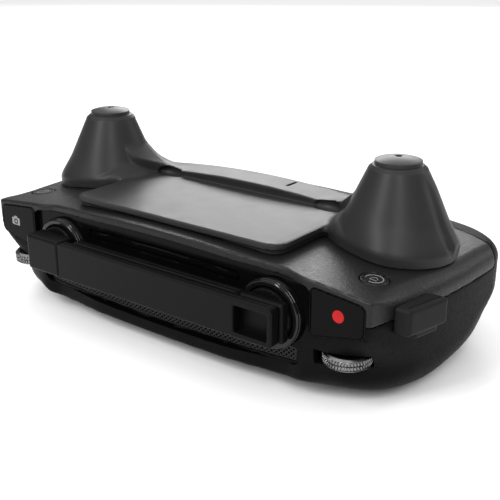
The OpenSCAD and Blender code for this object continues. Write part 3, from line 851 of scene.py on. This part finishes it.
def build_rings():
    """Gloss hinge rings: two beads with a groove between, along the pin."""
    front, rear = RING[0][1], RING[1][1]
    radius = RING[1][2] - AERIAL[2]
    length = rear - front
    outline = [(7.35, -length + 0.1), *bead(8.6, -length + 0.6, 0.6, -90, 0), (8.85, -1.75),
               *bead(8.75, -1.1, 0.45, -60, 60), (8.7, -0.75), *bead(8.45, -0.55, 0.55, 0, 90),
               (8.1, -0.05), *bead(7.75, -0.4, 0.4, 90, 180)]
    outline = [(r * radius / 9.2, h) for r, h in outline]
    points, faces = lathe(outline, 128)
    for side, word in ENDS:
        place = turned(points, (side * AERIAL[0], front, AERIAL[2]), "-Y")
        make(f"{word}_ring", place, faces, CHROME_MAT, "chassis", "black_chrome",
             [f"{word}_hinge_ring"], 35)


# -------------------- stick guard
def cone_radius(h):
    return RIM_R + CONE_GROW * (RIM_H - h)


def guard_wall(x):
    """Where the raised rear part begins: level between the cones, forward where it meets them."""
    ax = np.abs(x)
    return 3.8 - 7.5 * smooth_step(32, 39.5, ax) + 3.4 * smooth_step(42, 54, ax)


def flange_form(x, dx):
    """Radius and top height of the flange: wider at the outer side, following the crown."""
    reach = FLANGE_R + 1.5 * smooth_step(-4, 8, dx)
    return reach, np.minimum(FLANGE_TOP, crown(x) + 3.0 - CASE_H)


def guard_skirt(x, y, z):
    """The low plate over the display and the flange round each cone, joined in a deep notch."""
    ax = np.abs(x)
    dx, dy = ax - CONE_X, y - STICK[1]
    reach, top = flange_form(x, dx)
    plate = both_of(ax - PLATE_X, span(y, *PLATE_Y), 4.6)
    flange = np.hypot(dx, dy) - reach + 0.12 * (CASE_H + top - z)
    undercut = 0.6 * smooth_step(-1.3, -2, z - CASE_H - top) * smooth_step(44, 38, ax)
    return both_of(either_of(plate, flange, 4.5) + undercut, z - CASE_H - top, 0.6)


def guard_cone(x, y, h):
    """One cone: a valley and a fin down its outer side, flaring at the foot into the flange."""
    dx, dy = np.abs(x) - CONE_X, y - STICK[1]
    rho = np.hypot(dx, dy)
    reach, top = flange_form(x, dx)
    flare = (reach + 0.1 - cone_radius(top)) * smooth_step(top + 7, top, h)
    outer = smooth_step(4, 9, dx) * smooth_step(RIM_H + 0.5, RIM_H - 6, h)
    fin = 0.3 * smooth_step(-0.9, 1.2, dy) * (1 - smooth_step(5, 14, dy))
    depth = 0.2 + 0.5 * smooth_step(12, 1, h)
    valley = depth * np.clip(1 - np.abs(dy + 0.9) / 2.0, 0, 1)
    bow = (fin - valley) * outer - 0.5 * smooth_step(4, 9, dy) + flare
    flank = (rho - cone_radius(h) - bow) / CONE_TILT
    flank = both_of(flank, rho - reach - 0.02, 0.25)
    return np.maximum(flank, h - RIM_H + 1.2)


def guard_rear(x, y, h):
    """The raised rear part: a bar between the cones that climbs their flanks as a pointed leaf."""
    ax = np.abs(x)
    dx, dy = ax - CONE_X, y - STICK[1]
    inner = smooth_step(6, -6, dx)
    swell = inner * 3.6 * np.clip((9.2 - h) / 9.2, -0.6, 1.2) - 2.6 * (1 - inner) - 0.6
    leaf = (np.hypot(dx, dy) - cone_radius(h) - swell) / CONE_TILT
    leaf = np.maximum(leaf, h - RIM_H + 2)
    climb = 0.0235 * np.maximum(ax - 24, 0) ** 2 * smooth_step(12.5, 5, y)
    top = (h - BAR_TOP + 0.0016 * x * x - climb) * 0.85
    bar = both_of(both_of(ax - BAR_X, span(y, *BAR_Y), 1), top, 1.0)
    return both_of(soft_union(leaf, bar, 4.0), (guard_wall(x) - y) * 0.93, 0.5)


def guard(x, y, z):
    ax = np.abs(x)
    h = z - CASE_H
    dx, dy = ax - CONE_X, y - STICK[1]
    rho = np.hypot(dx, dy)
    fillet = 0.4 + 4.6 * smooth_step(47, 38, ax)
    body = either_of(guard_skirt(x, y, z), guard_cone(x, y, h), fillet)
    body = either_of(body, guard_rear(x, y, h), 0.5)
    # thumb scoops at the foot of the wall, and a short slit on the bar
    middle, size = (29.5, 3.7, 2.5), (4.8, 2.3, 1.9)
    scoop = np.sqrt(sum(((v - m) / r) ** 2 for v, m, r in zip((ax, y, h), middle, size)))
    body = both_of(body, (1 - scoop) * size[2], 0.3)
    slit = np.maximum(np.maximum(np.abs(x - 12) - 0.45, span(y, 8.0, 13.2)), 3.4 - h)
    body = np.maximum(body, -slit)
    # underside: follows the crowned face, with a collar in each stick well
    lift = 2.4 * smooth_step(1, 8, dy) * smooth_step(8, 13, dx)
    under = crown(x) + 0.3 + lift - z
    body = np.maximum(body, np.minimum(under, np.maximum(rho - 11.7, 31.0 - z)))
    wall = 1.4 + 0.9 * smooth_step(2, 7, dy)
    hollow = np.maximum((rho - cone_radius(h) + wall) / CONE_TILT, span(h, 0.6, RIM_H))
    hollow = np.minimum(hollow, np.maximum(rho - 10.5, h - 1))
    return np.maximum(body, -hollow)


def build_caps():
    """The top of each cone: a rounded rim, a groove, a collar and a shallow dome with a vent."""
    low = RIM_H - 1.2
    edge = RIM_H + 0.5
    dome_r = 19.1
    outline = [(RIM_R - 1.4, low), *[(cone_radius(low + h), low + h) for h in (0, 0.4, 0.8)],
               *bead(cone_radius(edge) - 0.95, edge - 0.85, 0.85, 25, 90, 8),
               (RIM_R - 1.15, RIM_H - 0.15), (RIM_R - 1.3, RIM_H + 0.5),
               *bead(5.98, CONE_H - 1.12, 0.14, 25, 75, 3)]
    outline += [(r, CONE_H - dome_r + math.sqrt(dome_r**2 - r * r))
                for r in np.linspace(5.8, 1.0, 9)]
    outline += [(0.85, CONE_H - 0.12), (0.85, RIM_H + 0.6), (RIM_R - 2.2, RIM_H - 0.6)]
    points, faces = lathe(outline, 128)
    for side, word in ENDS:
        place = turned(points, (side * CONE_X, STICK[1], CASE_H))
        make(f"{word}_cap", place, faces, GUARD_MAT, "stick_guard", "guard_plastic", crease=50)


def build_guard():
    carve("guard", guard, (GUARD[0][0], GUARD[0][1], 30.5), GUARD[1], GUARD_MAT, "stick_guard",
          "guard_plastic", ["stick_guard"], 32)


# -------------------- sticks
def build_sticks():
    base, top = KNOB[0][2], KNOB[1][2]
    knob = [(0, 0), (2.5, 0), (2.6, 0.3), (2.3, 2.2), (2.25, 3.8), (2.9, 5.1),
            *bead(3.7, 6.3, 0.3, -60, 30, 4), (4.0, 7.2)]
    knob += [(r, 7.5 + 0.18 * (i % 2)) for i, r in enumerate(np.linspace(3.8, 1.2, 9))]
    knob.append((0, 7.3))
    scale = (top - base) / 8.2  # the outline stays a little below this height
    points, faces = lathe([(r, h * scale) for r, h in knob], 72)
    outer, inner = [[(r * math.cos(a), r * math.sin(a)) for a in np.radians(np.linspace(*ends))]
                    for r, ends in ((10, (76, 24, 22)), (9.2, (26, 74, 12)))]
    dome = [(2.0, 9.9), *outer, *inner, (2.0, 9.0), (2.0, -1.8), (0, -2.0), (0, 12), (1.5, 12),
            (1.5, 9.9)]
    dome_points, dome_faces = lathe(dome, 72)
    for side, word in ENDS:
        x = side * STICK[0]
        make(f"{word}_knob", turned(points, (x, STICK[1], base)), faces, KNOB_MAT,
             f"{word}_stick", "stick_aluminium", [f"{word}_stick_knob"])
        make(f"{word}_post", turned(dome_points, (x, STICK[1], STICK[2])), dome_faces,
             BUTTON_MAT, f"{word}_stick", "button_plastic", [f"{word}_stick_post"])


# -------------------- clamps and small parts
def build_clamps():
    def arm(x, y, z):
        hub = np.hypot(x - CLAMP[0], y - CLAMP[1])
        beam = np.maximum(np.maximum(CLAMP[1] + 0.4 - y, 1.5 - x), x - CLAMP[0])
        body = both_of(np.minimum(hub - CLAMP_HUB_R, beam), z - CLAMP_TOP, 0.6)
        body = both_of(case(x, y, z, 0.02), body, 0.6)
        slot = np.maximum(span(x, 5.5, 40), y - (CLAMP[1] + 5.9))  # holds the rubber lining
        slot = both_of(slot, span(z, 7.5, 15.5), 0.5)
        body = both_of(body, -slot, 0.4)
        pin_hole, head_room = 2.55 - hub, np.maximum(hub - 4.3, z - 8)
        return np.maximum(body, np.maximum(pin_hole, -head_room))

    points, faces = contour(arm, (1, 9.5, -0.2), (72.5, BACK + 0.2, CLAMP_TOP + 0.2),
                            CELL["clamp_arm"])

    def pad(x, y, z):
        outer = np.maximum(span(x, 5.55, 39.95), span(y, CLAMP[1] + 0.6, CLAMP[1] + 5.85))
        outer = np.maximum(outer, span(z, 7.55, 15.45))
        inner = np.maximum(y - (CLAMP[1] + 4.9), span(z, 8.5, 14.5))
        ribs = 0.25 * np.abs((x / 1.6) % 1 - 0.5)
        return np.maximum(outer, -(inner + ribs))

    pad_points, pad_faces = contour(pad, (5, 23, 7), (41, 30, 16), CELL["clamp_lining"])
    for side, word in ENDS:
        make(f"{word}_arm", *mirrored(points, faces, side), LOWER_SHADE_MAT, f"{word}_clamp",
             "case_plastic", [f"{word}_clamp_arm"])
        make(f"{word}_lining", *mirrored(pad_points, pad_faces, side), RUBBER_MAT,
             f"{word}_clamp", "cover_rubber", [f"{word}_clamp_pad"])


def build_port_cover():
    low, high = PORT
    middle = middle_of(PORT)
    lean = math.atan2(3.2, high[1] - low[1])  # the outer face follows the end of the case

    def cover(x, y, z):
        out = (x - high[0]) * math.cos(lean) - (y - high[1]) * math.sin(lean)
        block = both_of(both_of(out, span(y, low[1], high[1]), 1.1), span(z, low[2], high[2]), 1.0)
        groove = np.hypot(out + 1.5, z - high[2]) - 0.28
        block = np.maximum(block, -np.maximum(groove, span(y, low[1] + 1.4, high[1] - 1.4)))
        lip = both_of(both_of(out + 0.8, span(y, middle[1] - 3.5, middle[1] + 4.5), 0.8),
                      span(z, low[2] - 1.5, low[2] + 0.8), 0.6)
        block = either_of(block, lip, 0.4)
        block = both_of(block, -case(x, y, z, -0.2), 0.3)
        tongue = rounded_box(x, y, z, (low[0], middle[1] - 3.4, middle[2] - 1),
                             (low[0] + 7, middle[1] + 3.4, middle[2] + 1), 0.5)
        return np.minimum(block, tongue)

    carve("port_plug", cover, (low[0], low[1], low[2] - 1.6), high, RUBBER_MAT, "port_cover",
          "cover_rubber", ["port_cover"], 35)


def build_small_controls():
    def disc(box, dish):
        r, h = (box[1][0] - box[0][0]) / 2, box[1][2] - box[0][2]
        return lathe([(0, 0), (r - 0.2, 0), (r, 0.2), *bead(r - 0.35, h - 0.35, 0.35, 0, 90),
                      (r - 0.8, h), (r - 1.2, h - dish), (0, h - dish)], 64)

    for name, box, side in (("pause_button", PAUSE, 1), ("five_way_button", PAUSE, -1),
                            ("right_under_button", UNDER, 1), ("left_under_button", UNDER, -1)):
        middle = middle_of(box)
        points, faces = disc(box, 0.25)
        base = np.array((side * middle[0], middle[1], box[0][2]))
        if "under" in name:
            points, faces = points * (1, 1, -1), [f[::-1] for f in faces]
            base[2] = box[1][2]
        make(f"{name}_cap", points + base, faces, BUTTON_MAT, name, "button_plastic", [name])

    low, high = SWITCH
    middle = middle_of(SWITCH)

    def switch(x, y, z):
        grip = rounded_box(x, y, z, (low[0], middle[1] - 2.2, middle[2] - 1.5),
                           (high[0] - 0.6, middle[1] + 2.2, middle[2] + 1.5), 0.4)
        ridges = 0.3 * np.abs(((y - middle[1]) / 0.9) % 1 - 0.5)
        grip = np.maximum(grip, low[0] + 0.1 + ridges - x)
        foot = rounded_box(x, y, z, (high[0] - 1, low[1], low[2]), high, 0.2)
        return np.minimum(grip, foot)

    carve("mode_slider", switch, low, high, BUTTON_MAT, "mode_switch", "button_plastic",
          ["mode_switch"])

    def lens(x, y, z):
        return rounded_box(x, y, z, *LENS, 0.35)

    carve("display_window", lens, *LENS, GLASS_MAT, "chassis", "display_glass", ["display_lens"])


# -------------------- carried-over CAD nodes
def at_ends(*parts):
    return [f"{word}_{part}" for _, word in ENDS for part in parts]


CARRIED = {
    STEEL_MAT: ["gimbal_dial_axle", "settings_dial_axle", "case_screws", "usb_port",
                *at_ends("hinge_pin", "gimbal_springs", "clamp_pin")],
    BOARD_MAT: ["display_module", "main_board"],
    BATTERY_MAT: ["battery_pack"],
    BUTTON_MAT: ["speaker", "push_switches"],
    FRAME_MAT: at_ends("gimbal_housing", "gimbal_yoke"),
}


def finish_carried():
    for material, names in CARRIED.items():
        for name in names:
            node = frame["nodes"][name]
            for i in range(len(node.material_slots)):
                node.material_slots[i].material = material


# -------------------- floor, lights, camera
STAGE_HALF = 4.0  # metres
WORLD_STRENGTH = 0.2
LIGHTS = (  # name, place, target and size in metres, power in watts
    ("ceiling", (0.0, 0.5, 1.7), (0, 0.5, 0), (5.0, 5.0), 80),
    ("back_box", (-0.50, 0.80, 0.40), (0.04, 0, 0.03), (0.6, 0.34), 5.0),
    ("left_strip", (-0.14, -0.62, 0.5), (0, 0, 0.04), (0.1, 0.5), 4.0),
    ("front_strip", (0.44, -0.5, 0.52), (0, 0, 0.04), (0.1, 0.5), 2.4),
    ("rim_strip", (0.45, 0.65, 0.3), (0, 0, 0.04), (0.4, 0.2), 0.8),
)
# The camera's place, solved from the perspective of the object's edges and round parts
AZIMUTH, ELEVATION = math.radians(37.67), math.radians(20.18)
DISTANCE = 0.21963  # metres, from the target
TARGET = (0.02962, -0.03114, CASE_H * MM)
FOCAL_MM, SENSOR_MM = 63.72, 36
SHIFT = (-0.0039, -0.0011)


def aim(thing, place, way):
    """Puts a light or camera at a place, looking along a direction."""
    thing.location = place
    thing.rotation_mode = "QUATERNION"
    thing.rotation_quaternion = way.to_track_quat("-Z", "Y")


def soft_light(name, place, target, size, power):
    lamp = bpy.data.lights.new(name, "AREA")
    lamp.shape = "RECTANGLE"
    lamp.size, lamp.size_y = size
    lamp.energy = power
    aim(put(name, lamp), place, Vector(target) - Vector(place))


def build_stage():
    mesh = bpy.data.meshes.new("floor")
    corners = [(x * STAGE_HALF, y * STAGE_HALF, 0) for x, y in ((-1, -1), (1, -1), (1, 1), (-1, 1))]
    mesh.from_pydata(corners, [], [(0, 1, 2, 3)])
    floor = put("floor", mesh)
    mesh.materials.append(Shader("floor_white", (0.9, 0.9, 0.9), 0.95, specular=0.0).material)
    world = bpy.data.worlds.new("studio")
    bpy.context.scene.world = world
    world.use_nodes = True
    sky = world.node_tree.nodes["Background"].inputs
    sky["Color"].default_value = (1, 1, 1, 1)
    sky["Strength"].default_value = WORLD_STRENGTH
    for light in LIGHTS:
        soft_light(*light)


def build_camera():
    level = math.cos(ELEVATION)
    back = Vector((math.sin(AZIMUTH) * level, -math.cos(AZIMUTH) * level, math.sin(ELEVATION)))
    camera = put("camera", bpy.data.cameras.new("camera"))
    camera.data.lens = FOCAL_MM
    camera.data.sensor_width = SENSOR_MM
    camera.data.shift_x, camera.data.shift_y = SHIFT
    camera.data.clip_start = 0.01
    aim(camera, Vector(TARGET) + back * DISTANCE, -back)
    bpy.context.scene.camera = camera
    bpy.context.scene.view_settings.view_transform = "Standard"


build_camera()
build_stage()
build_case()
build_bezel()
build_grille()
build_shoulders()
build_dials()
build_top_buttons()
build_aerials()
build_rings()
build_guard()
build_caps()
build_sticks()
build_clamps()
build_port_cover()
build_small_controls()
finish_carried()
